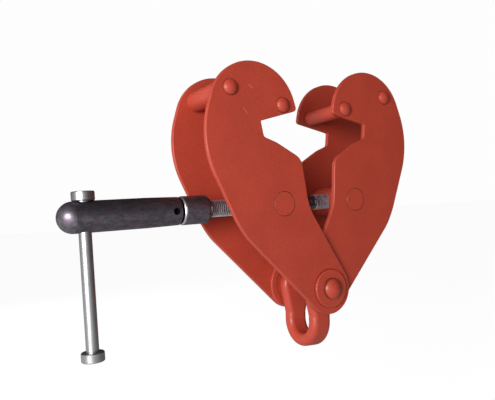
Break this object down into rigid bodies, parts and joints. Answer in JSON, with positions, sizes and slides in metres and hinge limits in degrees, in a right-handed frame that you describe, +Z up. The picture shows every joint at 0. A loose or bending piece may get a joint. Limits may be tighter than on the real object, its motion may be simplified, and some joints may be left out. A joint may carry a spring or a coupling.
{
  "type": "beam clamp",
  "caption": "Screw-operated beam clamp: two hooked jaws on one load pin grip an I-beam's flange, closed by a spindle with opposed threads; a shackle hangs below.",
  "frame": {"origin": "middle of the beam flange held in the jaws: halfway between the two hooks' throats and between the front and rear plates", "axes": "+X along the spindle from its handle towards its free end, +Y to the rear, towards the load pin's nut, +Z up"},
  "size_m": [0.3706, 0.103, 0.2785],
  "materials": {
    "red_paint": "satin red-orange enamel, slightly glossy on the edges",
    "dark_steel": "dark oiled steel with a drawn tube's mottled skin",
    "thread_steel": "rolled thread with bright crests and dark greased roots",
    "bright_steel": "bright drawn bar, semi-gloss",
    "plated_steel": "dull zinc plate"
  },
  "bodies": {
    "load_pin": {"load_pin": "red_paint", "front_pin_washer": "red_paint", "rear_pin_washer": "red_paint", "slotted_nut": "red_paint", "split_pin": "plated_steel"},
    "outer_jaw": {"outer_plate_front": "red_paint", "outer_plate_rear": "red_paint", "outer_tie_bar": "red_paint", "outer_tip_bar": "red_paint"},
    "outer_nut": {"outer_trunnion_nut": "red_paint"},
    "inner_jaw": {"inner_plate_front": "red_paint", "inner_plate_rear": "red_paint", "inner_tie_bar": "red_paint", "inner_tip_bar": "red_paint"},
    "inner_nut": {"inner_trunnion_nut": "red_paint"},
    "stop_washer": {"stop_washer": "plated_steel"},
    "spindle": {"spindle": "thread_steel", "stop_pin": "plated_steel", "handle_sleeve": "dark_steel", "handle_dome": "dark_steel", "roll_pin": "plated_steel", "lock_ring": "bright_steel", "spindle_collar": "dark_steel"},
    "tommy_bar": {"tommy_bar": "bright_steel", "tommy_cap_top": "bright_steel", "tommy_cap_bottom": "bright_steel"},
    "shackle": {"shackle": "red_paint"}
  },
  "joints": [
    {"name": "outer_jaw_swing", "type": "hinge", "parent": "load_pin", "child": "outer_jaw", "pos_m": [0, 0, -0.157], "axis": [0, 1, 0], "range_deg": [-18, 8.5]},
    {"name": "inner_jaw_swing", "type": "hinge", "parent": "load_pin", "child": "inner_jaw", "pos_m": [0, 0, -0.157], "axis": [0, -1, 0], "range_deg": [-18, 8.5]},
    {"name": "outer_nut_level", "type": "hinge", "parent": "outer_jaw", "child": "outer_nut", "pos_m": [-0.0462, 0, -0.072], "axis": [0, 1, 0], "range_deg": [-8.5, 18]},
    {"name": "inner_nut_level", "type": "hinge", "parent": "inner_jaw", "child": "inner_nut", "pos_m": [0.0462, 0, -0.072], "axis": [0, -1, 0], "range_deg": [-8.5, 18]},
    {"name": "inner_nut_travel", "type": "slide", "parent": "inner_nut", "child": "stop_washer", "axis": [1, 0, 0], "range_m": [-0.0267, 0.0127]},
    {"name": "spindle_turn", "type": "hinge", "parent": "stop_washer", "child": "spindle", "pos_m": [0, 0, -0.072], "axis": [1, 0, 0], "range_deg": [-4770, 2250]},
    {"name": "tommy_slide", "type": "slide", "parent": "spindle", "child": "tommy_bar", "axis": [0, 0, 1], "range_m": [0, 0.0976]},
    {"name": "shackle_swing", "type": "hinge", "parent": "load_pin", "child": "shackle", "pos_m": [0, 0, -0.157], "axis": [0, 1, 0], "range_deg": [-89, 81]}
  ],
  "couplings": [
    {"joint": "outer_jaw_swing", "follows": "spindle_turn", "ratio": 0.0037449},
    {"joint": "inner_jaw_swing", "follows": "spindle_turn", "ratio": 0.0037449},
    {"joint": "outer_nut_level", "follows": "spindle_turn", "ratio": -0.0037449},
    {"joint": "inner_nut_level", "follows": "spindle_turn", "ratio": -0.0037449},
    {"joint": "inner_nut_travel", "follows": "spindle_turn", "m_per_rad": 0.0003183}
  ]
}
